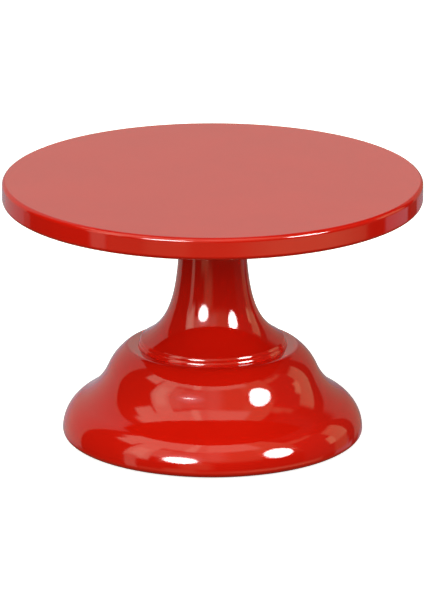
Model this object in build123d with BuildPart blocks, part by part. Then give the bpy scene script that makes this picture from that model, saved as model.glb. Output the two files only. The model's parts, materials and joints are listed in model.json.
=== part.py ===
"""A pedestal cake turntable: a pressed steel plate that turns on a ball-bearing spindle
inside a two-piece sheet steel pedestal.

Units are millimetres. The origin is on the table under the spindle's axis, and +Z is up.
The plate, hub and spindle turn about Z. The pedestal stands still, and each bearing's
cage and balls follow the spindle at their own slower rate.
"""

from build123d import *
import math
import os

# ---------------------------------------------------------------- driving dimensions
PLATE_DIAMETER = 300.0
OVERALL_HEIGHT = 190.0
RIM_DEPTH = 16.0
BASE_DIAMETER = 215.4
NECK_DIAMETER = 47.5

PLATE_SHEET = 1.5
PEDESTAL_SHEET = 1.2
FIT_GAP = 0.02  # radial room where one turned piece seats in another
SLIDE_GAP = 0.1  # radial room where one piece slides over another
LOOSE_GAP = 0.3  # radial room round a hole that centres nothing
FACE_GAP = 0.5  # room left where a bored end must not bottom out
FINE_CHAMFER = 0.3
EDGE_CHAMFER = 0.6
BOLD_CHAMFER = 1.0

# plate
PLATE_EDGE_RADIUS = 3.0
RIM_CURL_RADIUS = 3.0
RIM_RETURN = 1.0  # the straight end of the rim's curl
STIFFENER_RADIUS = 70.0
STIFFENER_THICKNESS = 2.0

# base shell, walking up the outside from the lip to the crown
FOOT_GAP = 1.0  # the shell's lip stands this far off the table, on the rubber ring
LIP_RADIUS = 4.0
DOME_RADIUS, DOME_LEAN = 25.8, 59.2  # each lean is the wall's angle from upright, in degrees
COVE_RADIUS, COVE_LEAN = 48.4, 23.4
SHOULDER_RADIUS, SHOULDER_LEAN = 38.7, 53.6
CROWN_EDGE_RADIUS = 6.9
LIP_FLANGE_INNER = 93.0
PILOT_RADIUS = 49.0  # the raised step that centres the stem's foot
PILOT_INSIDE_CORNER = 0.5
PILOT_OUTSIDE_CORNER = 1.6

# stem shell
STEM_FOOT_RADIUS = 53.4
STEM_FOOT_HEIGHT = 5.6
STEM_FOOT_INNER = 49.5
HEM_BULGE = 0.26  # how far each of the hem's two beads stands out from its taper
FLARE_FOOT_RADIUS = 51.2
FLARE_LOW_HANDLE = (30.5, 84.0)  # how the flare leaves the foot, as radius and height
FLARE_HIGH_HANDLE = 103.0  # the height where the flare has become the neck
FLARE_INWARD = [(-0.52, -0.85), (-1.03, -0.54), (-1, 0), (-1, 0)]  # the way to its inner face
NECK_STRAIGHT_TOP = 165.0
NECK_TOP = 173.0
NECK_CORNER_RADIUS = 2.0

# spindle and bearings: two 17 x 35 x 10 deep-groove ball bearings
SPINDLE_RADIUS = 8.5
BEARING_OUTER_RADIUS = 17.5
BEARING_WIDTH = 10.0
BEARING_PITCH_RADIUS = 13.0
BALL_RADIUS = 2.381
BALL_COUNT = 10
GROOVE_RADIUS = 2.45
INNER_LAND_RADIUS = 11.5
OUTER_LAND_RADIUS = 14.7
SEAL_SEAT_RADIUS = 15.4
SEAL_INNER_RADIUS = 11.65
SEAL_THICKNESS = 0.8
SEAL_DEPTH = 0.3
CAGE_INNER_RADIUS = 12.1
CAGE_OUTER_RADIUS = 13.9
CAGE_HALF_HEIGHT = 3.3
CAGE_POCKET_RADIUS = 2.5
CAGE_POCKET_LENGTH = 6.0
UPPER_BEARING_TOP = 171.5
LOWER_BEARING_TOP = 107.5
SPACER_WALL = 2.0
SPINDLE_INSET = 1.5  # its upper end lies this far below the hub's face

# bearing housing
HOUSING_RADIUS = 20.0
HOUSING_FLANGE_THICKNESS = 3.0
HOUSING_FOOT = 52.0
HOUSING_SHOULDER_RADIUS = 15.0
HOUSING_SHOULDER_HEIGHT = 5.5
HOUSING_LOWER_BORE_RADIUS = 16.0
DUST_CAP_RADIUS = 19.0
DUST_CAP_THICKNESS = 1.5
DUST_CAP_DEPTH = 6.0
CIRCLIP_THICKNESS = 1.5
CIRCLIP_SPRING_GAP = 0.05
CIRCLIP_GROOVE_RADIUS = 18.5
CIRCLIP_BAND = 3.2
CIRCLIP_TAPER = 0.8  # its hole is off centre, so the band thins towards the ends
CIRCLIP_GAP_ANGLE = 48.0
CIRCLIP_LUG_RADIUS = 2.2
CIRCLIP_LUG_INSET = 0.9
CIRCLIP_EYE_RADIUS = 0.9

# clamp under the crown
CLAMP_PLATE_RADIUS = 46.0
CLAMP_PLATE_THICKNESS = 2.5
LOCK_WASHER_RADIUS = 27.0
LOCK_WASHER_THICKNESS = 1.5
LOCK_TAB_COUNT = 11
LOCK_TAB_WIDTH = 4.0
LOCK_TAB_LENGTH = 2.0
LOCK_NUT_RADIUS = 29.0
LOCK_NUT_HEIGHT = 9.0
LOCK_SLOT_COUNT = 4
LOCK_SLOT_WIDTH = 7.0
LOCK_SLOT_DEPTH = 3.5

# hub and its fixings
HUB_FLANGE_RADIUS = 38.0
HUB_FLANGE_THICKNESS = 3.5
HUB_SKIRT_RADIUS = 22.0
HUB_NOSE_RADIUS = 10.6
HUB_RUNNING_GAP = 1.0  # between the hub's skirt and the housing's flange
STUD_CIRCLE_RADIUS = 29.0
STUD_COUNT = 4
STUD_RADIUS = 2.5
STUD_HOLE_RADIUS = 2.75
STUD_LENGTH = 10.4
NUT_ACROSS_FLATS = 8.0
NUT_HEIGHT = 4.0
NUT_FACE_RADIUS = 4.15  # its free face, bevelled at the corners
NUT_BEVEL = 8.0  # degrees
WASHER_RADIUS = 5.0
WASHER_THICKNESS = 1.0
GRUB_RADIUS = 2.0
GRUB_LENGTH = 12.0
GRUB_TIP_RADIUS = 1.25
GRUB_TIP_LENGTH = 1.5
GRUB_BITE = 0.5
GRUB_DIMPLE_GAP = 0.05
GRUB_SOCKET_FLATS = 2.0

# spindle's end screw
END_SCREW_RADIUS = 4.0
END_SCREW_LENGTH = 16.0
END_SCREW_HOLE_SPARE = 2.0
END_SCREW_FLATS = 13.0
END_SCREW_HEAD = 5.3
END_WASHER_RADIUS = 11.0
END_WASHER_THICKNESS = 2.5

# rubber foot ring
RING_INNER = 90.0
RING_LOWER_OUTER = 101.5
RING_UPPER_OUTER = 99.5
RING_LIP = 1.5

# ---------------------------------------------------------------- derived heights
PLATE_RADIUS = PLATE_DIAMETER / 2
BASE_RADIUS = BASE_DIAMETER / 2
NECK_RADIUS = NECK_DIAMETER / 2
PLATE_UNDERSIDE = OVERALL_HEIGHT - PLATE_SHEET
RIM_BOTTOM = OVERALL_HEIGHT - RIM_DEPTH
STIFFENER_BOTTOM = PLATE_UNDERSIDE - STIFFENER_THICKNESS
HUB_FLANGE_BOTTOM = STIFFENER_BOTTOM - HUB_FLANGE_THICKNESS
HOUSING_TOP = NECK_TOP + HOUSING_FLANGE_THICKNESS
HUB_SKIRT_BOTTOM = HOUSING_TOP + HUB_RUNNING_GAP
UPPER_BEARING_BOTTOM = UPPER_BEARING_TOP - BEARING_WIDTH
LOWER_BEARING_BOTTOM = LOWER_BEARING_TOP - BEARING_WIDTH
SPINDLE_TOP = STIFFENER_BOTTOM - SPINDLE_INSET


def rise(radius, lean_a, lean_b):
    """Height of an arc whose wall goes from one lean to the other."""
    return radius * abs(math.sin(math.radians(lean_b)) - math.sin(math.radians(lean_a)))


CROWN_HEIGHT = (
    FOOT_GAP
    + LIP_RADIUS
    + rise(DOME_RADIUS, 0, DOME_LEAN)
    + rise(COVE_RADIUS, DOME_LEAN, COVE_LEAN)
    + rise(SHOULDER_RADIUS, COVE_LEAN, SHOULDER_LEAN)
    + rise(CROWN_EDGE_RADIUS, SHOULDER_LEAN, 90)
)
PILOT_TOP = CROWN_HEIGHT + PILOT_INSIDE_CORNER + PILOT_OUTSIDE_CORNER
CLAMP_PLATE_TOP = PILOT_TOP - PEDESTAL_SHEET
LOCK_WASHER_TOP = CLAMP_PLATE_TOP - CLAMP_PLATE_THICKNESS
LOCK_NUT_TOP = LOCK_WASHER_TOP - LOCK_WASHER_THICKNESS
LOCK_NUT_BOTTOM = LOCK_NUT_TOP - LOCK_NUT_HEIGHT
FLARE_FOOT = CROWN_HEIGHT + STEM_FOOT_HEIGHT


def save(piece, name):
    """Labels a finished piece and writes its STEP file."""
    piece.part.label = name
    export_step(piece.part, f"parts/{name}.step")


def ring_section(inner, outer, bottom, top):
    """The rectangle that revolves into a plain ring, drawn as radius and height."""
    with Locations((inner, bottom)):
        Rectangle(outer - inner, top - bottom, align=(Align.MIN, Align.MIN))


def round_edges(piece, radius):
    """A piece's circular edges of one radius."""
    circles = piece.edges().filter_by(GeomType.CIRCLE)
    return circles.filter_by(lambda edge: math.isclose(edge.radius, radius, abs_tol=SLIDE_GAP))


def hem_point(share, bulge=0.0):
    """A point a share of the way up the stem's tapered hem, pushed outwards by the bulge."""
    taper = share * (STEM_FOOT_RADIUS - FLARE_FOOT_RADIUS)
    return (STEM_FOOT_RADIUS - taper + bulge, CROWN_HEIGHT + share * STEM_FOOT_HEIGHT)


def facing_out(angle, radius):
    """A sketch plane square to a radius: it faces outwards, and its own y is height."""
    return Plane.XZ.rotated((0, 0, angle + 90)).offset(radius)


os.makedirs("parts", exist_ok=True)


# ================================================================ the turning plate
with BuildPart() as plate:
    with BuildSketch(Plane.XZ):
        with BuildLine():
            top = Line((0, OVERALL_HEIGHT), (PLATE_RADIUS - PLATE_EDGE_RADIUS, OVERALL_HEIGHT))
            edge = JernArc(top @ 1, top % 1, PLATE_EDGE_RADIUS, -90)
            rim = Line(edge @ 1, (PLATE_RADIUS, RIM_BOTTOM + RIM_CURL_RADIUS))
            curl = JernArc(rim @ 1, rim % 1, RIM_CURL_RADIUS, -180)
            PolarLine(curl @ 1, RIM_RETURN, 90)
            offset(amount=PLATE_SHEET, side=Side.RIGHT)
        make_face()
    revolve(axis=Axis.Z)
save(plate, "plate")

with BuildPart() as stiffener_disc:
    with BuildSketch(Plane.XZ):
        ring_section(0, STIFFENER_RADIUS, STIFFENER_BOTTOM, PLATE_UNDERSIDE)
    revolve(axis=Axis.Z)
    chamfer(stiffener_disc.faces().sort_by(Axis.Z)[0].edges(), STIFFENER_THICKNESS / 2)
save(stiffener_disc, "stiffener_disc")

with BuildPart() as plate_studs:
    with BuildSketch(Plane.XY.offset(STIFFENER_BOTTOM)):
        with PolarLocations(STUD_CIRCLE_RADIUS, STUD_COUNT):
            Circle(STUD_RADIUS)
    extrude(amount=-STUD_LENGTH)
    chamfer(plate_studs.faces().group_by(Axis.Z)[0].edges(), EDGE_CHAMFER)
save(plate_studs, "plate_studs")


# ================================================================ hub and its fixings
GRUB_HEIGHT = (HUB_SKIRT_BOTTOM + HUB_FLANGE_BOTTOM) / 2
GRUB_TIP = SPINDLE_RADIUS - GRUB_BITE
GRUB_ANGLES = (-45, 45)

with BuildPart() as hub:
    with BuildSketch(Plane.XZ):
        with BuildLine():
            Polyline(
                (0, STIFFENER_BOTTOM),
                (HUB_FLANGE_RADIUS, STIFFENER_BOTTOM),
                (HUB_FLANGE_RADIUS, HUB_FLANGE_BOTTOM),
                (HUB_SKIRT_RADIUS, HUB_FLANGE_BOTTOM),
                (HUB_SKIRT_RADIUS, HUB_SKIRT_BOTTOM),
                (HUB_NOSE_RADIUS, HUB_SKIRT_BOTTOM),
                (HUB_NOSE_RADIUS, UPPER_BEARING_TOP),
                (SPINDLE_RADIUS + FIT_GAP, UPPER_BEARING_TOP),
                (SPINDLE_RADIUS + FIT_GAP, SPINDLE_TOP + FACE_GAP),
                (0, SPINDLE_TOP + FACE_GAP),
                close=True,
            )
        make_face()
    revolve(axis=Axis.Z)
    chamfer(round_edges(hub, HUB_FLANGE_RADIUS), EDGE_CHAMFER)
    with Locations(Plane.XY.offset(STIFFENER_BOTTOM)):
        with PolarLocations(STUD_CIRCLE_RADIUS, STUD_COUNT):
            Hole(STUD_HOLE_RADIUS)
    for angle in GRUB_ANGLES:
        with BuildSketch(facing_out(angle, HUB_SKIRT_RADIUS)):
            with Locations((0, GRUB_HEIGHT)):
                Circle(GRUB_RADIUS + FIT_GAP)
        extrude(amount=-HUB_SKIRT_RADIUS, mode=Mode.SUBTRACT)
save(hub, "hub")

with BuildPart() as hub_grub_screws:
    for angle in GRUB_ANGLES:
        with BuildSketch(facing_out(angle, GRUB_TIP)):
            with Locations((0, GRUB_HEIGHT)):
                Circle(GRUB_TIP_RADIUS)
        extrude(amount=GRUB_TIP_LENGTH)
        with BuildSketch(facing_out(angle, GRUB_TIP + GRUB_TIP_LENGTH)):
            with Locations((0, GRUB_HEIGHT)):
                Circle(GRUB_RADIUS)
        extrude(amount=GRUB_LENGTH - GRUB_TIP_LENGTH)
        with BuildSketch(facing_out(angle, GRUB_TIP + GRUB_LENGTH)):
            with Locations((0, GRUB_HEIGHT)):
                RegularPolygon(GRUB_SOCKET_FLATS / 2, 6, major_radius=False)
        extrude(amount=-GRUB_LENGTH / 4, mode=Mode.SUBTRACT)
save(hub_grub_screws, "hub_grub_screws")

with BuildPart() as hub_washers:
    with BuildSketch(Plane.XY.offset(HUB_FLANGE_BOTTOM)):
        with PolarLocations(STUD_CIRCLE_RADIUS, STUD_COUNT):
            Circle(WASHER_RADIUS)
            Circle(STUD_RADIUS + SLIDE_GAP, mode=Mode.SUBTRACT)
    extrude(amount=-WASHER_THICKNESS)
save(hub_washers, "hub_washers")

with BuildPart() as hub_nuts:
    with BuildSketch(Plane.XY.offset(HUB_FLANGE_BOTTOM - WASHER_THICKNESS)):
        with PolarLocations(STUD_CIRCLE_RADIUS, STUD_COUNT):
            RegularPolygon(NUT_ACROSS_FLATS / 2, 6, major_radius=False)
    extrude(amount=-NUT_HEIGHT)
    with BuildSketch(Plane.XY.offset(HUB_FLANGE_BOTTOM - WASHER_THICKNESS)):
        with PolarLocations(STUD_CIRCLE_RADIUS, STUD_COUNT):
            Circle(NUT_FACE_RADIUS + NUT_HEIGHT * math.tan(math.radians(NUT_BEVEL)))
    extrude(amount=-NUT_HEIGHT, taper=NUT_BEVEL, mode=Mode.INTERSECT)
    with BuildSketch(Plane.XY.offset(HUB_FLANGE_BOTTOM - WASHER_THICKNESS)):
        with PolarLocations(STUD_CIRCLE_RADIUS, STUD_COUNT):
            Circle(STUD_RADIUS + FIT_GAP)
    extrude(amount=-NUT_HEIGHT, mode=Mode.SUBTRACT)
save(hub_nuts, "hub_nuts")


# ================================================================ spindle
with BuildPart() as spindle:
    with BuildSketch(Plane.XY.offset(LOWER_BEARING_BOTTOM)):
        Circle(SPINDLE_RADIUS)
    extrude(amount=SPINDLE_TOP - LOWER_BEARING_BOTTOM)
    chamfer(round_edges(spindle, SPINDLE_RADIUS), EDGE_CHAMFER)
    with BuildSketch(Plane.XY.offset(LOWER_BEARING_BOTTOM)):
        Circle(END_SCREW_RADIUS + FIT_GAP)
    extrude(amount=END_SCREW_LENGTH + END_SCREW_HOLE_SPARE, mode=Mode.SUBTRACT)
    for angle in GRUB_ANGLES:
        with BuildSketch(facing_out(angle, SPINDLE_RADIUS)):
            with Locations((0, GRUB_HEIGHT)):
                Circle(GRUB_TIP_RADIUS + GRUB_DIMPLE_GAP)
        extrude(amount=-GRUB_BITE - FIT_GAP, mode=Mode.SUBTRACT)
save(spindle, "spindle")

with BuildPart() as inner_spacer:
    with BuildSketch(Plane.XZ):
        ring_section(
            SPINDLE_RADIUS + FIT_GAP,
            SPINDLE_RADIUS + SPACER_WALL,
            LOWER_BEARING_TOP,
            UPPER_BEARING_BOTTOM,
        )
    revolve(axis=Axis.Z)
save(inner_spacer, "inner_spacer")

with BuildPart() as end_washer:
    with BuildSketch(Plane.XZ):
        ring_section(
            END_SCREW_RADIUS + LOOSE_GAP,
            END_WASHER_RADIUS,
            LOWER_BEARING_BOTTOM - END_WASHER_THICKNESS,
            LOWER_BEARING_BOTTOM,
        )
    revolve(axis=Axis.Z)
save(end_washer, "end_washer")

with BuildPart() as end_screw:
    with BuildSketch(Plane.XY.offset(LOWER_BEARING_BOTTOM - END_WASHER_THICKNESS)):
        RegularPolygon(END_SCREW_FLATS / 2, 6, major_radius=False)
    extrude(amount=-END_SCREW_HEAD)
    with BuildSketch(Plane.XY.offset(LOWER_BEARING_BOTTOM - END_WASHER_THICKNESS)):
        Circle(END_SCREW_RADIUS)
    extrude(amount=END_SCREW_LENGTH)
    chamfer(end_screw.faces().sort_by(Axis.Z)[-1].edges(), EDGE_CHAMFER)
save(end_screw, "end_screw")


# ================================================================ ball bearings
def save_bearing(side, top):
    """The five pieces of a sealed deep-groove ball bearing whose upper face is at height top."""
    bottom = top - BEARING_WIDTH
    middle = top - BEARING_WIDTH / 2
    groove = (BEARING_PITCH_RADIUS, middle)

    with BuildPart() as inner_ring:
        with BuildSketch(Plane.XZ):
            ring_section(SPINDLE_RADIUS + FIT_GAP, INNER_LAND_RADIUS, bottom, top)
            chamfer(vertices(), FINE_CHAMFER)
            with Locations(groove):
                Circle(GROOVE_RADIUS, mode=Mode.SUBTRACT)
        revolve(axis=Axis.Z)
    save(inner_ring, f"{side}_bearing_inner_ring")

    with BuildPart() as outer_ring:
        with BuildSketch(Plane.XZ):
            ring_section(OUTER_LAND_RADIUS, BEARING_OUTER_RADIUS, bottom, top)
            chamfer(vertices().group_by(Axis.X)[-1], FINE_CHAMFER)
            with Locations(groove):
                Circle(GROOVE_RADIUS, mode=Mode.SUBTRACT)
            seat = SEAL_DEPTH + SEAL_THICKNESS
            seat_width = SEAL_SEAT_RADIUS - OUTER_LAND_RADIUS
            for low in (bottom, top - seat):
                with Locations((OUTER_LAND_RADIUS, low)):
                    Rectangle(seat_width, seat, align=(Align.MIN, Align.MIN), mode=Mode.SUBTRACT)
        revolve(axis=Axis.Z)
    save(outer_ring, f"{side}_bearing_outer_ring")

    with BuildPart() as seals:
        with BuildSketch(Plane.XZ):
            for low in (bottom + SEAL_DEPTH, top - SEAL_DEPTH - SEAL_THICKNESS):
                ring_section(
                    SEAL_INNER_RADIUS,
                    SEAL_SEAT_RADIUS - FIT_GAP,
                    low,
                    low + SEAL_THICKNESS,
                )
        revolve(axis=Axis.Z)
    save(seals, f"{side}_bearing_seals")

    with BuildPart() as cage:
        with BuildSketch(Plane.XZ):
            ring_section(
                CAGE_INNER_RADIUS,
                CAGE_OUTER_RADIUS,
                middle - CAGE_HALF_HEIGHT,
                middle + CAGE_HALF_HEIGHT,
            )
        revolve(axis=Axis.Z)
        with Locations(Plane.XY.offset(middle)):
            with PolarLocations(BEARING_PITCH_RADIUS, BALL_COUNT):
                Cylinder(
                    CAGE_POCKET_RADIUS,
                    CAGE_POCKET_LENGTH,
                    rotation=(0, 90, 0),
                    mode=Mode.SUBTRACT,
                )
    save(cage, f"{side}_bearing_cage")

    with BuildPart() as balls:
        with Locations(Plane.XY.offset(middle)):
            with PolarLocations(BEARING_PITCH_RADIUS, BALL_COUNT):
                Sphere(BALL_RADIUS)
    save(balls, f"{side}_bearing_balls")


save_bearing("upper", UPPER_BEARING_TOP)
save_bearing("lower", LOWER_BEARING_TOP)


# ================================================================ bearing housing
with BuildPart() as bearing_housing:
    bore = BEARING_OUTER_RADIUS + FIT_GAP
    shoulder_bottom = LOWER_BEARING_BOTTOM - HOUSING_SHOULDER_HEIGHT
    groove_top = UPPER_BEARING_TOP + CIRCLIP_THICKNESS + SLIDE_GAP
    with BuildSketch(Plane.XZ):
        with BuildLine():
            Polyline(
                (HOUSING_LOWER_BORE_RADIUS, HOUSING_FOOT),
                (HOUSING_RADIUS, HOUSING_FOOT),
                (HOUSING_RADIUS, NECK_TOP),
                (NECK_RADIUS, NECK_TOP),
                (NECK_RADIUS, HOUSING_TOP),
                (bore, HOUSING_TOP),
                (bore, groove_top),
                (CIRCLIP_GROOVE_RADIUS, groove_top),
                (CIRCLIP_GROOVE_RADIUS, UPPER_BEARING_TOP),
                (bore, UPPER_BEARING_TOP),
                (bore, LOWER_BEARING_BOTTOM),
                (HOUSING_SHOULDER_RADIUS, LOWER_BEARING_BOTTOM),
                (HOUSING_SHOULDER_RADIUS, shoulder_bottom),
                (HOUSING_LOWER_BORE_RADIUS, shoulder_bottom),
                close=True,
            )
        make_face()
    revolve(axis=Axis.Z)
    chamfer(round_edges(bearing_housing, NECK_RADIUS), EDGE_CHAMFER)
    chamfer(bearing_housing.faces().sort_by(Axis.Z)[0].edges(), EDGE_CHAMFER)
save(bearing_housing, "bearing_housing")

with BuildPart() as dust_cap:
    with BuildSketch(Plane.XZ):
        cap_foot = HOUSING_FOOT - DUST_CAP_THICKNESS
        plug = HOUSING_LOWER_BORE_RADIUS - FIT_GAP
        ring_section(0, DUST_CAP_RADIUS, cap_foot, HOUSING_FOOT)
        ring_section(plug - DUST_CAP_THICKNESS, plug, HOUSING_FOOT, HOUSING_FOOT + DUST_CAP_DEPTH)
    revolve(axis=Axis.Z)
    chamfer(dust_cap.faces().sort_by(Axis.Z)[0].edges(), EDGE_CHAMFER)
save(dust_cap, "dust_cap")

with BuildPart() as outer_spacer:
    with BuildSketch(Plane.XZ):
        ring_section(
            BEARING_OUTER_RADIUS - SPACER_WALL,
            BEARING_OUTER_RADIUS,
            LOWER_BEARING_TOP,
            UPPER_BEARING_BOTTOM,
        )
    revolve(axis=Axis.Z)
save(outer_spacer, "outer_spacer")

with BuildPart() as bearing_circlip:
    clip_outer = CIRCLIP_GROOVE_RADIUS - CIRCLIP_SPRING_GAP
    lug_circle = clip_outer - CIRCLIP_LUG_RADIUS - CIRCLIP_LUG_INSET
    gap_reach = 2 * clip_outer
    half_gap = gap_reach * math.tan(math.radians(CIRCLIP_GAP_ANGLE / 2))
    with BuildSketch(Plane.XY.offset(UPPER_BEARING_TOP)):
        Circle(clip_outer)
        with Locations((CIRCLIP_TAPER, 0)):
            Circle(clip_outer - CIRCLIP_BAND, mode=Mode.SUBTRACT)
        with BuildLine():
            Polyline((0, 0), (gap_reach, half_gap), (gap_reach, -half_gap), close=True)
        make_face(mode=Mode.SUBTRACT)
        with PolarLocations(lug_circle, 2, -CIRCLIP_GAP_ANGLE / 2, 2 * CIRCLIP_GAP_ANGLE):
            Circle(CIRCLIP_LUG_RADIUS)
            Circle(CIRCLIP_EYE_RADIUS, mode=Mode.SUBTRACT)
    extrude(amount=CIRCLIP_THICKNESS)
save(bearing_circlip, "bearing_circlip")


# ================================================================ pedestal shells
with BuildPart() as base_shell:
    with BuildSketch(Plane.XZ):
        with BuildLine():
            flange = Line((LIP_FLANGE_INNER, FOOT_GAP), (BASE_RADIUS - LIP_RADIUS, FOOT_GAP))
            lip = JernArc(flange @ 1, flange % 1, LIP_RADIUS, 90)
            dome = JernArc(lip @ 1, lip % 1, DOME_RADIUS, DOME_LEAN)
            cove = JernArc(dome @ 1, dome % 1, COVE_RADIUS, COVE_LEAN - DOME_LEAN)
            shoulder = JernArc(cove @ 1, cove % 1, SHOULDER_RADIUS, SHOULDER_LEAN - COVE_LEAN)
            crown_edge = JernArc(shoulder @ 1, shoulder % 1, CROWN_EDGE_RADIUS, 90 - SHOULDER_LEAN)
            seat = Line(crown_edge @ 1, (PILOT_RADIUS + PILOT_INSIDE_CORNER, CROWN_HEIGHT))
            step = JernArc(seat @ 1, seat % 1, PILOT_INSIDE_CORNER, -90)
            brow = JernArc(step @ 1, step % 1, PILOT_OUTSIDE_CORNER, 90)
            Line(brow @ 1, (HOUSING_RADIUS + LOOSE_GAP, PILOT_TOP))
            offset(amount=PEDESTAL_SHEET, side=Side.LEFT)
        make_face()
    revolve(axis=Axis.Z)
save(base_shell, "base_shell")

with BuildPart() as stem_shell:
    outer_flare = [
        (FLARE_FOOT_RADIUS, FLARE_FOOT),
        FLARE_LOW_HANDLE,
        (NECK_RADIUS, FLARE_HIGH_HANDLE),
        (NECK_RADIUS, NECK_STRAIGHT_TOP),
    ]
    # the sheet's inner face has the same control points, each moved in by the sheet's thickness
    inner_flare = [
        (r + dr * PEDESTAL_SHEET, z + dz * PEDESTAL_SHEET)
        for (r, z), (dr, dz) in zip(outer_flare, FLARE_INWARD)
    ]
    hole = HOUSING_RADIUS + SLIDE_GAP
    shelf = NECK_TOP - PEDESTAL_SHEET
    with BuildSketch(Plane.XZ):
        with BuildLine():
            flare = Bezier(*outer_flare)
            neck = Line(flare @ 1, (NECK_RADIUS, NECK_TOP - NECK_CORNER_RADIUS))
            corner = JernArc(neck @ 1, (0, 1), NECK_CORNER_RADIUS, 90)
            mouth = Polyline(
                corner @ 1,
                (hole, NECK_TOP),
                (hole, shelf),
                (NECK_RADIUS - NECK_CORNER_RADIUS, shelf),
            )
            inside_corner = JernArc(mouth @ 1, (1, 0), NECK_CORNER_RADIUS - PEDESTAL_SHEET, -90)
            Line(inside_corner @ 1, inner_flare[-1])
            inside = Bezier(*reversed(inner_flare))
            Line(inside @ 1, flare @ 0)
        make_face()
    revolve(axis=Axis.Z)
    # the foot is a closed hem with a slight taper, rolled into two fine beads
    with BuildSketch(Plane.XZ):
        with BuildLine():
            hem = Line((STEM_FOOT_INNER, CROWN_HEIGHT), hem_point(0))
            low_bead = ThreePointArc(hem @ 1, hem_point(0.25, HEM_BULGE), hem_point(0.5))
            high_bead = ThreePointArc(low_bead @ 1, hem_point(0.75, HEM_BULGE), hem_point(1))
            Polyline(
                high_bead @ 1,
                (STEM_FOOT_INNER, FLARE_FOOT),
                (STEM_FOOT_INNER, CROWN_HEIGHT),
            )
        make_face()
    revolve(axis=Axis.Z)
save(stem_shell, "stem_shell")

with BuildPart() as foot_ring:
    # the base shell's lip sits in the ring's groove
    groove_root = LIP_FLANGE_INNER - SLIDE_GAP
    groove_top = FOOT_GAP + PEDESTAL_SHEET
    with BuildSketch(Plane.XZ):
        with BuildLine():
            Polyline(
                (RING_INNER, 0),
                (RING_LOWER_OUTER, 0),
                (RING_LOWER_OUTER, FOOT_GAP),
                (groove_root, FOOT_GAP),
                (groove_root, groove_top),
                (RING_UPPER_OUTER, groove_top),
                (RING_UPPER_OUTER, groove_top + RING_LIP),
                (RING_INNER, groove_top + RING_LIP),
                close=True,
            )
        make_face()
        chamfer(vertices().group_by(Axis.X)[0], EDGE_CHAMFER)
    revolve(axis=Axis.Z)
save(foot_ring, "foot_ring")


# ================================================================ clamp under the crown
with BuildPart() as clamp_plate:
    with BuildSketch(Plane.XZ):
        ring_section(
            HOUSING_RADIUS + LOOSE_GAP,
            CLAMP_PLATE_RADIUS,
            LOCK_WASHER_TOP,
            CLAMP_PLATE_TOP,
        )
    revolve(axis=Axis.Z)
    chamfer(clamp_plate.faces().sort_by(Axis.Z)[0].edges().sort_by(SortBy.LENGTH)[-1], BOLD_CHAMFER)
save(clamp_plate, "clamp_plate")

with BuildPart() as lock_washer:
    with BuildSketch(Plane.XY.offset(LOCK_NUT_TOP)):
        Circle(LOCK_WASHER_RADIUS - LOCK_TAB_LENGTH)
        with PolarLocations(LOCK_WASHER_RADIUS - LOCK_TAB_LENGTH, LOCK_TAB_COUNT):
            Rectangle(2 * LOCK_TAB_LENGTH, LOCK_TAB_WIDTH)
        Circle(HOUSING_RADIUS + SLIDE_GAP, mode=Mode.SUBTRACT)
    extrude(amount=LOCK_WASHER_THICKNESS)
    # one tab is bent down into a slot of the nut
    with BuildSketch(Plane.XY.offset(LOCK_NUT_TOP)):
        with Locations((LOCK_WASHER_RADIUS - LOCK_WASHER_THICKNESS / 2, 0)):
            Rectangle(LOCK_WASHER_THICKNESS, LOCK_TAB_WIDTH)
    extrude(amount=-LOCK_NUT_HEIGHT / 2)
save(lock_washer, "lock_washer")

with BuildPart() as lock_nut:
    with BuildSketch(Plane.XY.offset(LOCK_NUT_BOTTOM)):
        Circle(LOCK_NUT_RADIUS)
    extrude(amount=LOCK_NUT_HEIGHT)
    chamfer(round_edges(lock_nut, LOCK_NUT_RADIUS), BOLD_CHAMFER)
    with BuildSketch(Plane.XY.offset(LOCK_NUT_BOTTOM)):
        Circle(HOUSING_RADIUS + FIT_GAP)
        with PolarLocations(LOCK_NUT_RADIUS, LOCK_SLOT_COUNT):
            Rectangle(2 * LOCK_SLOT_DEPTH, LOCK_SLOT_WIDTH)
    extrude(amount=LOCK_NUT_HEIGHT, mode=Mode.SUBTRACT)
save(lock_nut, "lock_nut")
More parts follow.
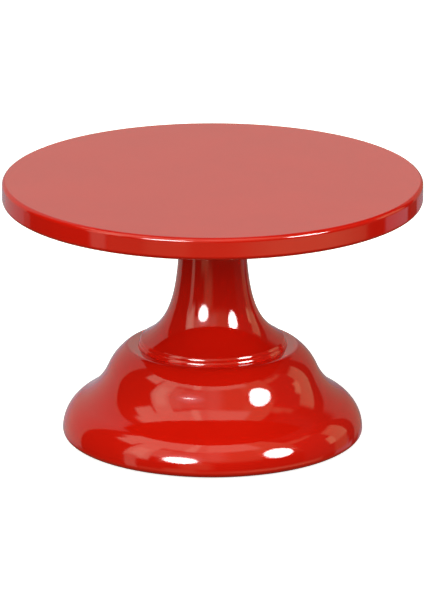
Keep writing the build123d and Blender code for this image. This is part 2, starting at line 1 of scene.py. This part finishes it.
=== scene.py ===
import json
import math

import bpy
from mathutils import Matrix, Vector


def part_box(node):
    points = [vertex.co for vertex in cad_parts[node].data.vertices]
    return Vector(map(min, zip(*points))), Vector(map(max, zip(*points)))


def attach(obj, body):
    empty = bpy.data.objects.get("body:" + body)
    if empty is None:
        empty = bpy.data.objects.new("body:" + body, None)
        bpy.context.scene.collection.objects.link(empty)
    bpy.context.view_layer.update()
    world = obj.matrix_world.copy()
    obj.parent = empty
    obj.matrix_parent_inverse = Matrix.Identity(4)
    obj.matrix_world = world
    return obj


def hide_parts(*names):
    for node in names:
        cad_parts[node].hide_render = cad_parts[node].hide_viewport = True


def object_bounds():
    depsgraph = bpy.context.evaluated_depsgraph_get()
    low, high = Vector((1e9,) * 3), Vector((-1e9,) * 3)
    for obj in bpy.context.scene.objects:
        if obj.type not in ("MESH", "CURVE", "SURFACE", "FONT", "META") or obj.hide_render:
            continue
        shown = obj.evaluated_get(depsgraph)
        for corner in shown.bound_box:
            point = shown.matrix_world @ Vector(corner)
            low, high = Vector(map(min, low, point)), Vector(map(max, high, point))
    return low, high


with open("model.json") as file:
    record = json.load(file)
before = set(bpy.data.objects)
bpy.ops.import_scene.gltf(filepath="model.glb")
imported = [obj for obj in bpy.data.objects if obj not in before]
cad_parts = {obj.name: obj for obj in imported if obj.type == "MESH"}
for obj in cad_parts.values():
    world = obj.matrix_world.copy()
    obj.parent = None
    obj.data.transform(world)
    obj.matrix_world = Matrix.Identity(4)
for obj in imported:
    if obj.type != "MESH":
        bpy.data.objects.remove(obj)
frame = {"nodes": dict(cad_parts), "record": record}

# The looks of a pedestal cake turntable: gloss red enamel over spun and pressed steel,
# with a zinc-plated hub, bearing housing and clamp underneath.
# Outlines are walked in millimetres as (radius, height); everything else is in metres.

CAD_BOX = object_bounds()
NODES = frame["nodes"]
MM = 0.001


def cad_size(node):
    """A node's outer radius, lowest and highest point, in millimetres."""
    low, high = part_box(node)
    return min(high.x, high.y, -low.x, -low.y) / MM, low.z / MM, high.z / MM


# ------------------------------------------------------------------ sizes, as in the CAD model
PLATE_RADIUS, RIM_BOTTOM, PLATE_TOP = cad_size("plate")
BASE_RADIUS, LIP_HEIGHT, PILOT_TOP = cad_size("base_shell")
_, CROWN_HEIGHT, NECK_TOP = cad_size("stem_shell")
HOUSING_RADIUS = 20.0

PLATE_SHEET = 1.5
PEDESTAL_SHEET = 1.2
PLATE_EDGE = 3.0
RIM_CURL = 3.0
RIM_CURL_END = 1.0  # the straight end of the curl, inside the rim

LIP = 4.0
DOME, DOME_LEAN = 25.8, 59.2
COVE, COVE_LEAN = 48.4, 23.4
SHOULDER, SHOULDER_LEAN = 38.7, 53.6
CROWN_EDGE = 6.9
LIP_FLANGE_INNER = 93.0
PILOT_RADIUS = 49.0
PILOT_INSIDE_CORNER = 0.5
PILOT_OUTSIDE_CORNER = 1.6
PILOT_HOLE = HOUSING_RADIUS + 0.3

STEM_FOOT = 53.4
STEM_FOOT_HEIGHT = 5.6
STEM_FOOT_INNER = 49.5
STEM_INNER_KNEE = 5.3  # the height over the crown at which the flare's inside leaves the hem
HEM_BULGE = 0.26  # how far each of the hem's two beads stands out from its taper
FLARE_FOOT_RADIUS = 51.2
FLARE_LOW_HANDLE = (30.5, 84.0)
NECK_RADIUS = 23.75
FLARE_LOW_INWARDS = (1.03, 0.54)  # from that handle to the inside's, in sheet thicknesses
FLARE_HIGH_HANDLE = 103.0
NECK_STRAIGHT_TOP = 165.0
NECK_CORNER = 2.0
NECK_HOLE = HOUSING_RADIUS + 0.1


# ------------------------------------------------------------------ lathe work
ON_AXIS = 1e-6  # a radius under this is on the axis


class Outline:
    """Walks the outline of a turned shape, keeping each point's outward normal.

    The outside is always on the walker's right. Each stretch is its own list of
    (radius, height, normal_r, normal_z), so a corner between two stretches stays sharp.
    """

    def __init__(self, r, z, heading=0.0):
        self.at = (r, z)
        self.heading = heading  # degrees: 0 is outwards, 90 is up
        self.stretches = []

    def _normal(self, heading):
        a = math.radians(heading - 90)
        return math.cos(a), math.sin(a)

    def to(self, r, z, steps=1):
        """A straight line to (r, z)."""
        r0, z0 = self.at
        self.heading = math.degrees(math.atan2(z - z0, r - r0))
        n = self._normal(self.heading)
        self.stretches.append(
            [(r0 + (r - r0) * i / steps, z0 + (z - z0) * i / steps, *n) for i in range(steps + 1)]
        )
        self.at = (r, z)

    def bend(self, radius, turn, steps=12):
        """An arc that turns by that many degrees, to the left if positive."""
        side = 1 if turn > 0 else -1
        nr, nz = self._normal(self.heading)
        centre = (self.at[0] - side * nr * radius, self.at[1] - side * nz * radius)
        arc = []
        for i in range(steps + 1):
            nr, nz = self._normal(self.heading + turn * i / steps)
            arc.append((centre[0] + side * nr * radius, centre[1] + side * nz * radius, nr, nz))
        self.stretches.append(arc)
        self.heading += turn
        self.at = arc[-1][:2]

    def curve(self, *handles, steps):
        """A cubic Bezier from here to the last of the three points given."""
        p = [self.at, *handles]
        points = []
        for i in range(steps + 1):
            t = i / steps
            s = 1 - t
            weights = (s**3, 3 * s * s * t, 3 * s * t * t, t**3)
            slopes = (-3 * s * s, 3 * s * s - 6 * s * t, 6 * s * t - 3 * t * t, 3 * t * t)
            r, z = (sum(w * q[k] for w, q in zip(weights, p)) for k in (0, 1))
            dr, dz = (sum(w * q[k] for w, q in zip(slopes, p)) for k in (0, 1))
            length = math.hypot(dr, dz)
            points.append((r, z, dz / length, -dr / length))
        self.stretches.append(points)
        self.at = points[-1][:2]
        self.heading = math.degrees(math.atan2(dz, dr))

    def sheet(self, thickness):
        """Turns this one face into a closed sheet of that thickness, behind the face."""
        back = [
            [(r - nr * thickness, z - nz * thickness, -nr, -nz) for r, z, nr, nz in reversed(s)]
            for s in reversed(self.stretches)
        ]
        start, end = self.stretches[0][0], self.stretches[-1][-1]
        for here, there in ((end, back[0][0]), (back[-1][-1], start)):
            dr, dz = there[0] - here[0], there[1] - here[1]
            n = (dz / thickness, -dr / thickness)
            cap = [(*here[:2], *n), (*there[:2], *n)]
            back.insert(0 if here is end else len(back), cap)
        if end[0] < ON_AXIS:  # the sheet closes on the axis, so it has no edge there
            back.pop(0)
        self.stretches += back


def lathe(name, outline, around):
    """Spins an outline about Z into a mesh whose shading follows the outline exactly."""
    rows, row_of, strips = [], {}, []
    for stretch in outline.stretches:
        for a, b in zip(stretch, stretch[1:]):
            ends = []
            for r, z, *_ in (a, b):
                key = (round(r, 4), round(z, 4))
                if key not in row_of:
                    row_of[key] = len(rows)
                    rows.append(key)
                ends.append(row_of[key])
            if ends[0] != ends[1]:
                strips.append((*ends, a[2:], b[2:]))
    verts, start = [], []
    for r, z in rows:
        start.append(len(verts))
        turns = 1 if r < ON_AXIS else around
        for k in range(turns):
            angle = k * math.tau / around
            verts.append((r * MM * math.cos(angle), r * MM * math.sin(angle), z * MM))
    faces, normals = [], []
    for low, high, low_n, high_n in strips:
        loop = ((low, low_n, 0), (low, low_n, 1), (high, high_n, 1), (high, high_n, 0))
        for k in range(around):
            corners = []
            for row, n, step in loop:
                on_axis = rows[row][0] < ON_AXIS
                index = start[row] + (0 if on_axis else (k + step) % around)
                angle = (k + (0.5 if on_axis else step)) * math.tau / around
                if index not in [c[0] for c in corners]:
                    normal = (n[0] * math.cos(angle), n[0] * math.sin(angle), n[1])
                    corners.append((index, normal))
            faces.append([c[0] for c in corners])
            normals += [c[1] for c in corners]
    mesh = bpy.data.meshes.new(name)
    mesh.from_pydata(verts, [], faces)
    mesh.normals_split_custom_set(normals)
    mesh.update()
    piece = bpy.data.objects.new(name, mesh)
    bpy.context.scene.collection.objects.link(piece)
    return piece


# ------------------------------------------------------------------ shader helpers
def add(tree, kind, inputs=(), **settings):
    """A new node. Inputs are {socket name or index: value, or the socket to link from}."""
    made = tree.nodes.new(kind)
    for key, value in settings.items():
        setattr(made, key, value)
    for key, value in dict(inputs).items():
        if isinstance(value, bpy.types.NodeSocket):
            tree.links.new(value, made.inputs[key])
        else:
            made.inputs[key].default_value = value
    return made


def calc(tree, operation, a, b=0.0, c=0.0):
    """One Math node's result."""
    return add(tree, "ShaderNodeMath", {0: a, 1: b, 2: c}, operation=operation).outputs[0]


def remap(tree, value, low, high, to_low, to_high, smooth=False):
    """value, from low..high to to_low..to_high, clamped."""
    inputs = {
        "Value": value,
        "From Min": low,
        "From Max": high,
        "To Min": to_low,
        "To Max": to_high,
    }
    kind = "SMOOTHSTEP" if smooth else "LINEAR"
    return add(tree, "ShaderNodeMapRange", inputs, interpolation_type=kind).outputs["Result"]


def blend_colour(tree, factor, a, b):
    """Colour a where the factor is 0, and b where it is 1."""
    mix = add(tree, "ShaderNodeMix", {"Factor": factor}, data_type="RGBA")
    # a Mix node's colours are its inputs 6 and 7 and its output 2
    for socket, value in zip(mix.inputs[6:8], (a, b)):
        if isinstance(value, bpy.types.NodeSocket):
            tree.links.new(value, socket)
        else:
            socket.default_value = (*value, 1)
    return mix.outputs[2]


def place(tree):
    """Where a shaded point is on its piece, in metres."""
    return add(tree, "ShaderNodeTexCoord").outputs["Object"]


def noise(tree, where, size, detail=2.0, roughness=0.5):
    """Cloudy noise whose blobs are about that many metres across."""
    inputs = {"Vector": where, "Scale": 1 / size, "Detail": detail, "Roughness": roughness}
    return add(tree, "ShaderNodeTexNoise", inputs).outputs["Fac"]


def length_of(tree, a, b):
    """The length of the vector (a, b)."""
    squares = calc(tree, "ADD", calc(tree, "MULTIPLY", a, a), calc(tree, "MULTIPLY", b, b))
    return calc(tree, "SQRT", squares)


def turned(tree, where, pitch, streak):
    """Noise drawn out round the Z axis, like the marks of a lathe tool or grinding wheel."""
    x, y, z = add(tree, "ShaderNodeSeparateXYZ", {0: where}).outputs
    radius = length_of(tree, x, y)
    flat = add(
        tree,
        "ShaderNodeCombineXYZ",
        {
            0: calc(tree, "DIVIDE", radius, pitch),
            1: calc(tree, "DIVIDE", z, pitch),
            2: calc(tree, "DIVIDE", x, streak),
        },
    ).outputs[0]
    return noise(tree, flat, 1.0, detail=3.0)


def bump(tree, height, distance, under=None):
    """A normal bent by that height, in metres, over the one under it."""
    inputs = {"Height": height, "Distance": distance, "Strength": 1.0}
    if under is not None:
        inputs["Normal"] = under
    return add(tree, "ShaderNodeBump", inputs).outputs["Normal"]


def material(name, **constants):
    """A Principled material. Constants are socket names with _ for spaces."""
    made = bpy.data.materials.new(name)
    made.use_nodes = True
    tree = made.node_tree
    shader = tree.nodes["Principled BSDF"]
    for key, value in constants.items():
        shader.inputs[key.replace("_", " ")].default_value = value
    return made, tree, shader


def feed(tree, shader, **sources):
    """Links sources to the shader's sockets, which are named with _ for spaces."""
    for key, source in sources.items():
        tree.links.new(source, shader.inputs[key.replace("_", " ")])


# ------------------------------------------------------------------ materials
ENAMEL_RED = (0.625, 0.0082, 0.0025)
ENAMEL_DEEP_RED = (0.600, 0.0074, 0.0022)
ENAMEL_ROUGHNESS = (0.045, 0.085)
CLOUD_SIZE = 0.060  # how far apart the red drifts
SMEAR_SIZE = 0.018  # and its gloss
SWELL_SIZE, SWELL_HEIGHT = 0.030, 1.0e-4
PEEL_SIZE, PEEL_HEIGHT = 0.0022, 1.0e-5
RING_PITCH, RING_STREAK = 0.004, 0.3
BASE_RINGS, STEM_RINGS = 1.2e-5, 1.0e-5  # how deep the marks of spinning are
MARK_STREAK = 0.08  # how far a tool mark runs before it changes
STAIN_SIZE = 0.012
DUST_SIZE = 0.015


def enamel(name, rings=0.0):
    """Stoved gloss enamel: near-mirror smooth, with a trace of orange peel and spun waviness."""
    made, tree, shader = material(name, IOR=1.5)
    where = place(tree)
    cloud = remap(tree, noise(tree, where, CLOUD_SIZE, 3.0), 0.35, 0.65, 0.0, 1.0, smooth=True)
    colour = blend_colour(tree, cloud, ENAMEL_DEEP_RED, ENAMEL_RED)
    smear = remap(tree, noise(tree, where, SMEAR_SIZE, 4.0, 0.65), 0.35, 0.7, *ENAMEL_ROUGHNESS)
    swell = bump(tree, noise(tree, where, SWELL_SIZE, 1.0), SWELL_HEIGHT)
    normal = bump(tree, noise(tree, where, PEEL_SIZE, 1.0), PEEL_HEIGHT, swell)
    if rings:
        normal = bump(tree, turned(tree, where, RING_PITCH, RING_STREAK), rings, normal)
    feed(tree, shader, Base_Color=colour, Roughness=smear, Normal=normal)
    return made


def metal(name, colour, tint, rough, marks, pitch, metallic):
    """Turned or ground metal: tool marks run round it, and the finish varies a little."""
    made, tree, shader = material(name, Metallic=metallic)
    where = place(tree)
    lines = turned(tree, where, pitch, MARK_STREAK)
    stain = noise(tree, where, STAIN_SIZE, 3.0, 0.6)
    feed(
        tree,
        shader,
        Base_Color=blend_colour(tree, remap(tree, stain, 0.3, 0.7, 0.0, 1.0), colour, tint),
        Roughness=remap(tree, calc(tree, "ADD", lines, stain), 0.7, 1.3, *rough),
        Normal=bump(tree, lines, marks),
    )
    return made


def moulded(name, colour, tint, rough, grain, grain_height):
    """Moulded rubber or plastic with a fine grain and a little dust in it."""
    made, tree, shader = material(name)
    where = place(tree)
    speckle = noise(tree, where, grain, 2.0)
    dust = remap(tree, noise(tree, where, DUST_SIZE, 4.0, 0.7), 0.5, 0.8, 0.0, 1.0)
    feed(
        tree,
        shader,
        Base_Color=blend_colour(tree, dust, colour, tint),
        Roughness=remap(tree, speckle, 0.3, 0.7, *rough),
        Normal=bump(tree, speckle, grain_height),
    )
    return made


#    slot, colour, tint, least and most roughness, depth and pitch of the tool marks, metallic
METALS = [
    ("zinc_plated_steel", (0.60, 0.62, 0.65), (0.66, 0.64, 0.58), (0.22, 0.38), 6e-6, 6e-4, 1.0),
    ("bearing_steel", (0.70, 0.70, 0.71), (0.62, 0.62, 0.64), (0.08, 0.16), 2e-6, 3e-4, 1.0),
    ("spindle_steel", (0.56, 0.56, 0.57), (0.50, 0.50, 0.52), (0.16, 0.28), 4e-6, 4e-4, 1.0),
    ("spring_steel", (0.06, 0.06, 0.065), (0.10, 0.09, 0.08), (0.38, 0.60), 4e-6, 5e-4, 0.8),
    ("black_screws", (0.035, 0.035, 0.04), (0.06, 0.05, 0.05), (0.25, 0.42), 3e-6, 4e-4, 0.9),
]
#    slot, colour, dust, least and most roughness, size and height of the grain
MOULDINGS = [
    ("rubber", (0.016, 0.016, 0.017), (0.045, 0.043, 0.040), (0.55, 0.80), 8e-4, 3e-5),
    ("seal_rubber", (0.012, 0.012, 0.013), (0.03, 0.03, 0.03), (0.45, 0.65), 5e-4, 1e-5),
    ("black_plastic", (0.018, 0.018, 0.020), (0.05, 0.05, 0.05), (0.38, 0.55), 6e-4, 2e-5),
    ("cage_nylon", (0.62, 0.57, 0.44), (0.55, 0.48, 0.34), (0.35, 0.50), 9e-4, 1e-5),
]
FINISHES = {
    "red_enamel": enamel("red_enamel"),
    **{row[0]: metal(*row) for row in METALS},
    **{row[0]: moulded(*row) for row in MOULDINGS},
}


def dress_cad_nodes():
    """Every CAD node gets the finish of its own slot."""
    for sub in frame["record"]["subparts"]:
        piece = NODES[sub["node"]]
        piece.data.materials.clear()
        piece.data.materials.append(FINISHES[sub["material_slot"]])


# ------------------------------------------------------------------ enamelled shells
def enamelled(piece, node, body, finish):
    """Puts an enamelled piece in the place of its CAD node."""
    piece.data.materials.append(finish)
    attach(piece, body)
    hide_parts(node)


def make_plate():
    """A flat top whose turned-down rim is curled inwards along its bottom edge."""
    curl_inside = PLATE_RADIUS - 2 * RIM_CURL
    curl_middle = RIM_BOTTOM + RIM_CURL
    outline = Outline(curl_inside, curl_middle + RIM_CURL_END, heading=-90)
    outline.to(curl_inside, curl_middle)
    outline.bend(RIM_CURL, 180, steps=24)
    outline.to(PLATE_RADIUS, PLATE_TOP - PLATE_EDGE, steps=4)
    outline.bend(PLATE_EDGE, 90)
    outline.to(0, PLATE_TOP, steps=8)
    outline.sheet(PLATE_SHEET)
    piece = lathe("plate_enamelled", outline, around=256)
    enamelled(piece, "plate", "turntable", enamel("plate_enamel"))


def make_base():
    """An ogee from the inturned lip up to a crown, with a raised pilot for the stem."""
    outline = Outline(LIP_FLANGE_INNER, LIP_HEIGHT)
    outline.to(BASE_RADIUS - LIP, LIP_HEIGHT)
    outline.bend(LIP, 90)
    outline.bend(DOME, DOME_LEAN, steps=28)
    outline.bend(COVE, COVE_LEAN - DOME_LEAN, steps=28)
    outline.bend(SHOULDER, SHOULDER_LEAN - COVE_LEAN, steps=20)
    outline.bend(CROWN_EDGE, 90 - SHOULDER_LEAN)
    outline.to(PILOT_RADIUS + PILOT_INSIDE_CORNER, CROWN_HEIGHT)
    outline.bend(PILOT_INSIDE_CORNER, -90, steps=6)
    outline.bend(PILOT_OUTSIDE_CORNER, 90, steps=8)
    outline.to(PILOT_HOLE, PILOT_TOP)
    outline.sheet(PEDESTAL_SHEET)
    piece = lathe("base_enamelled", outline, around=224)
    enamelled(piece, "base_shell", "pedestal", enamel("base_enamel", BASE_RINGS))


def arc_between(outline, middle, end):
    """Adds the arc from where the outline stands, through middle, to end."""
    (x1, y1), (x2, y2), (x3, y3) = outline.at, middle, end
    d = 2 * (x1 * (y2 - y3) + x2 * (y3 - y1) + x3 * (y1 - y2))
    a, b, c = x1 * x1 + y1 * y1, x2 * x2 + y2 * y2, x3 * x3 + y3 * y3
    cx = (a * (y2 - y3) + b * (y3 - y1) + c * (y1 - y2)) / d
    cy = (a * (x3 - x2) + b * (x1 - x3) + c * (x2 - x1)) / d
    first, last = math.atan2(y1 - cy, x1 - cx), math.atan2(y3 - cy, x3 - cx)
    sweep = (last - first) % math.tau
    outline.heading = math.degrees(first) + 90
    outline.bend(math.hypot(x1 - cx, y1 - cy), math.degrees(sweep), steps=10)


def hem_point(share, bulge=0.0):
    """A point a share of the way up the stem's tapered hem, pushed outwards by the bulge."""
    taper = share * (STEM_FOOT - FLARE_FOOT_RADIUS)
    return (STEM_FOOT - taper + bulge, CROWN_HEIGHT + share * STEM_FOOT_HEIGHT)


def make_stem():
    """A flared sheet whose foot is folded into a tapered hem with two fine beads."""
    t = PEDESTAL_SHEET
    neck_inside = NECK_RADIUS - t
    shelf = NECK_TOP - t
    outline = Outline(STEM_FOOT_INNER, CROWN_HEIGHT)
    outline.to(*hem_point(0))
    arc_between(outline, hem_point(0.25, HEM_BULGE), hem_point(0.5))
    arc_between(outline, hem_point(0.75, HEM_BULGE), hem_point(1))
    outline.curve(
        FLARE_LOW_HANDLE,
        (NECK_RADIUS, FLARE_HIGH_HANDLE),
        (NECK_RADIUS, NECK_STRAIGHT_TOP),
        steps=72,
    )
    outline.to(NECK_RADIUS, NECK_TOP - NECK_CORNER)
    outline.bend(NECK_CORNER, 90, steps=8)
    outline.to(NECK_HOLE, NECK_TOP)
    outline.to(NECK_HOLE, shelf)
    outline.to(neck_inside, shelf)
    outline.to(neck_inside, NECK_STRAIGHT_TOP)
    outline.curve(
        (neck_inside, FLARE_HIGH_HANDLE),
        tuple(p - q * t for p, q in zip(FLARE_LOW_HANDLE, FLARE_LOW_INWARDS)),
        (STEM_FOOT_INNER, CROWN_HEIGHT + STEM_INNER_KNEE),
        steps=36,
    )
    outline.to(STEM_FOOT_INNER, CROWN_HEIGHT)
    piece = lathe("stem_enamelled", outline, around=160)
    enamelled(piece, "stem_shell", "pedestal", enamel("stem_enamel", STEM_RINGS))


# ------------------------------------------------------------------ studio
CAMERA_ELEVATION = math.radians(17.12)
CAMERA_DISTANCE = 4.709
CAMERA_LENS = 394.9  # a long lens
CAMERA_SENSOR = 36.0  # on the picture's long side
CAMERA_SHIFT = -0.001
AIM_HEIGHT = 0.525  # the share of the overall height that the camera looks at

# The room that the gloss mirrors is painted in layers, each over the ones before it.
# Bearing is from the camera's side of the object, positive to its right; angles are degrees.
WARM, COOL, BLUE = (1.0, 1.0, 0.76), (1.0, 1.0, 0.89), (0.95, 1.0, 1.12)
AMBER = (1.0, 1.0, 0.56)
BARE_ROOM = 0.04
#    brightness, tint, bearing, half width, soft edge, elevation, half height, soft edge
ROOM = [
    (0.36, AMBER, 17, 76, 2, -52, 39, 3),  # the table, in front
    (0.40, BLUE, -155, 29, 1.5, -52, 39, 3),  # the table, behind on the left
    (0.36, BLUE, 166, 16, 1.5, -52, 39, 3),  # the table, behind on the right
    (0.50, BLUE, 121.5, 12.5, 1.5, -50, 42, 8),  # the table, on the right
    (0.60, AMBER, -25, 12, 4, -38, 30, 3),  # the left light's patch on the table
    (0.94, AMBER, 52, 30, 18, -43, 29, 3),  # the right light's patch on the table
    (0.12, AMBER, 0, 181, 1, -57, 35, 2.5),  # the table close by, in the turntable's own shade
    (0.56, COOL, -150, 31, 1.5, 18, 34, 4),  # backdrop, left
    (0.31, WARM, 162, 24, 2, 8, 22, 4),  # backdrop, right
    (0.28, BLUE, 180, 14, 6, 16, 38, 6),  # backdrop straight behind
    (0.50, BLUE, -168, 15, 7, -6, 9, 6),  # lit table edge behind
    (0.48, AMBER, -13, 12, 5, 3, 11, 6),  # wall below the left light
    (1.00, WARM, -25, 17, 1.5, 27, 18, 4),  # wall round the left light
    (0.55, AMBER, 15, 24, 1.5, 33, 17, 6),  # wall in front
    (1.05, WARM, 0, 10, 8, 36, 16, 6),  # its lighter left end
    (0.80, AMBER, 56, 18, 2, 60, 33, 18),  # wall round the right light
    (1.90, WARM, -28, 77, 4, 62, 14, 3),  # ceiling
    (2.90, WARM, -22, 5, 2, 60, 13, 3),  # bright ceiling panel
    (1.45, WARM, -11, 5, 2, 60, 13, 3),  # duller panel beside it
    (1.30, WARM, -44, 6, 2, 33, 12, 4),  # wall beside the window
    (2.10, WARM, -61, 11, 1.5, 31, 22, 5),  # tall window
    (3.00, WARM, -61, 6, 3, 25, 13, 5),  # its brightest pane
    (1.10, WARM, -65, 5, 1.5, -2, 17, 6),  # its sill
    (0.03, WARM, -96, 22, 1.2, 12, 27, 2.5),  # dark doorway
    (2.00, WARM, -86, 11, 2, 51, 13, 2),  # ceiling above it
    (0.60, WARM, -120.5, 1.5, 0.8, 17, 24, 4),  # its lit frame
    (0.10, WARM, 91, 17, 2, 13, 26, 4),  # dark corner on the right
    (0.75, AMBER, 88, 14, 4, 43, 3.5, 2.5),  # edge of the ceiling above it
    (0.35, AMBER, 115, 9, 2, -4, 9, 3),  # foot of the pale panel
    (0.88, AMBER, 117, 9.5, 1, 18, 14, 3),  # pale panel
    (1.60, AMBER, 105, 4, 1, 12, 7, 2),  # lit stand beside it
    (0.04, WARM, 132, 5.5, 1, 8, 22, 3),  # dark gap
    (0.08, WARM, 130, 42, 5, 64, 21, 4),  # dark ceiling behind on the right
    (0.70, WARM, 0, 181, 1, 92, 14, 6),  # ceiling straight overhead
    (0.70, COOL, 180, 12, 4, 17, 8, 3),  # backdrop, behind the plate
]
#    brightness, bearing, half width, elevation, half height, soft edge as a share of the size
ROUND_LIGHTS = [
    (2.5, -25, 14, 24, 10, 0.5),  # glare on the wall above the left soft box
    (30.0, -25.5, 13.5, 18.9, 9.6, 0.12),  # left soft box
    (30.0, 55.0, 12.4, 26.5, 13.0, 0.12),  # right soft box
]
# Diffuse light sees this share of the room, without its round lights: two lamps stand in for them.
ROOM_SHARE = 0.95
#    name, bearing, power in watts
SOFT_LIGHTS = [
    ("left_soft_light", -34, 18.5),
    ("right_soft_light", 62, 26),
]
LAMP_ELEVATION = 23
LAMP_DISTANCE = 2.5
LAMP_SIDE = 1.1
FLOOR_GLOW = 0.75
FLOOR_COLOUR = (0.92, 0.92, 0.92, 1)
FLOOR_REACH = 8.0


def off_bearing(tree, bearing, centre):
    """How many degrees a bearing is from the centre, the short way round."""
    turn = calc(tree, "SUBTRACT", bearing, centre)
    return calc(tree, "ABSOLUTE", calc(tree, "WRAP", turn, -180.0, 180.0))


def off_elevation(tree, elevation, centre):
    """How many degrees an elevation is from the centre."""
    return calc(tree, "ABSOLUTE", calc(tree, "SUBTRACT", elevation, centre))


def fade(tree, away, half, soft):
    """1 inside a half size, and 0 outside it, with a soft edge."""
    return remap(tree, away, half - soft, half + soft, 1.0, 0.0, smooth=True)


def patch(tree, bearing, elevation, spec):
    """How much of a rectangular patch of the room is seen in a direction."""
    centre, half_width, soft_width, height, half_height, soft_height = spec
    across = fade(tree, off_bearing(tree, bearing, centre), half_width, soft_width)
    up = fade(tree, off_elevation(tree, elevation, height), half_height, soft_height)
    return calc(tree, "MULTIPLY", across, up)


def disc(tree, bearing, elevation, spec):
    """How much of a round patch of the room is seen in a direction."""
    centre, half_width, height, half_height, soft = spec
    across = calc(tree, "DIVIDE", off_bearing(tree, bearing, centre), half_width)
    up = calc(tree, "DIVIDE", off_elevation(tree, elevation, height), half_height)
    return fade(tree, length_of(tree, across, up), 1, soft)


def make_surroundings():
    """White to the camera, and a lit room to everything else."""
    world = bpy.data.worlds.new("studio")
    bpy.context.scene.world = world
    world.use_nodes = True
    world.cycles.sampling_method = "NONE"
    tree = world.node_tree
    tree.nodes.clear()
    direction = add(tree, "ShaderNodeTexCoord").outputs["Generated"]
    x, y, z = add(tree, "ShaderNodeSeparateXYZ", {0: direction}).outputs
    degrees = 180 / math.pi
    turn = calc(tree, "ARCTAN2", x, calc(tree, "MULTIPLY", y, -1.0))
    bearing = calc(tree, "MULTIPLY", turn, degrees)
    elevation = calc(tree, "MULTIPLY", calc(tree, "ARCSINE", z), degrees)
    room = tuple(BARE_ROOM * c for c in WARM)
    for level, tint, *spec in ROOM:
        seen = patch(tree, bearing, elevation, spec)
        room = blend_colour(tree, seen, room, tuple(level * c for c in tint))
    share = {0: room, "Scale": ROOM_SHARE}
    ambient = add(tree, "ShaderNodeVectorMath", share, operation="SCALE").outputs[0]
    for level, *spec in ROUND_LIGHTS:
        seen = disc(tree, bearing, elevation, spec)
        room = blend_colour(tree, seen, room, (level, level, level))
    path = add(tree, "ShaderNodeLightPath")
    lit = blend_colour(tree, path.outputs["Is Glossy Ray"], ambient, room)
    shown = blend_colour(tree, path.outputs["Is Camera Ray"], lit, (1.0, 1.0, 1.0))
    background = add(tree, "ShaderNodeBackground", {"Color": shown})
    out = add(tree, "ShaderNodeOutputWorld")
    tree.links.new(background.outputs[0], out.inputs["Surface"])


def make_floor():
    """A plain pale floor. The object is lit and mirrored by the room's own table instead."""
    mesh = bpy.data.meshes.new("floor")
    signs = [(-1, -1), (1, -1), (1, 1), (-1, 1)]
    corners = [(sx * FLOOR_REACH, sy * FLOOR_REACH, 0) for sx, sy in signs]
    mesh.from_pydata(corners, [], [(0, 1, 2, 3)])
    floor = bpy.data.objects.new("floor", mesh)
    bpy.context.scene.collection.objects.link(floor)
    made, _, _ = material(
        "lit_acrylic",
        Base_Color=FLOOR_COLOUR,
        Roughness=0.9,
        Specular_IOR_Level=0.1,
        Emission_Color=(1, 1, 1, 1),
        Emission_Strength=FLOOR_GLOW,
    )
    mesh.materials.append(made)
    floor.visible_glossy = False
    floor.visible_diffuse = False


def make_soft_light(name, bearing, power):
    """A square area light aimed at the middle of the object."""
    b, e = math.radians(bearing), math.radians(LAMP_ELEVATION)
    light = bpy.data.lights.new(name, "AREA")
    light.shape = "SQUARE"
    light.size = LAMP_SIDE
    light.energy = power
    lamp = bpy.data.objects.new(name, light)
    bpy.context.scene.collection.objects.link(lamp)
    middle = (CAD_BOX[0] + CAD_BOX[1]) / 2
    away = Vector((math.sin(b) * math.cos(e), -math.cos(b) * math.cos(e), math.sin(e)))
    lamp.location = middle + away * LAMP_DISTANCE
    lamp.rotation_mode = "QUATERNION"
    lamp.rotation_quaternion = away.to_track_quat("Z", "Y")
    lamp.visible_glossy = False


def make_camera():
    """A long lens at the photograph's viewing angle."""
    data = bpy.data.cameras.new("camera")
    data.lens = CAMERA_LENS
    data.sensor_width = CAMERA_SENSOR
    data.clip_end = 50.0
    data.shift_x = CAMERA_SHIFT
    camera = bpy.data.objects.new("camera", data)
    bpy.context.scene.collection.objects.link(camera)
    aim = Vector((0, 0, CAD_BOX[1].z * AIM_HEIGHT))
    away = Vector((0, -math.cos(CAMERA_ELEVATION), math.sin(CAMERA_ELEVATION)))
    camera.location = aim + away * CAMERA_DISTANCE
    camera.rotation_euler = (math.pi / 2 - CAMERA_ELEVATION, 0, 0)
    bpy.context.scene.camera = camera


make_camera()
make_surroundings()
make_floor()
for soft_light in SOFT_LIGHTS:
    make_soft_light(*soft_light)
bpy.context.scene.view_settings.view_transform = "Standard"

dress_cad_nodes()
make_plate()
make_base()
make_stem()
